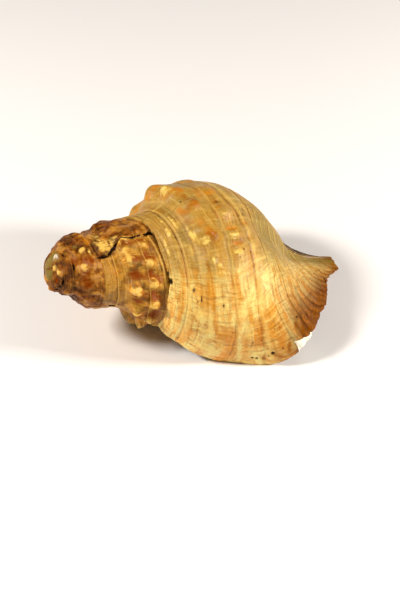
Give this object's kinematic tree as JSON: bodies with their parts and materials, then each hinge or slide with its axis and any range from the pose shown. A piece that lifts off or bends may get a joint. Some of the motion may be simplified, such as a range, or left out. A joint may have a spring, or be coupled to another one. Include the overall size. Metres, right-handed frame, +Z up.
{
  "type": "conch shell",
  "caption": "Large knobbed triton shell lying aperture down: worn spire with nodule rows, swollen body whorl, flared lip drawn out to a short canal, hollow inside",
  "frame": {"origin": "bottom centre of the box around the shell, on the surface it rests on", "axes": "+X runs along the shell towards the canal, +Z is up, and the free outer lip lies on the -Y side; the spiral axis is pitched so that the apex end is raised about 19 degrees"},
  "size_m": [0.198, 0.121, 0.0889],
  "materials": {
    "shell": "weathered calcareous shell, tan and cream with red-brown patches, dull outside and smoother inside"
  },
  "bodies": {
    "root": {"shell": "shell"}
  },
  "joints": []
}
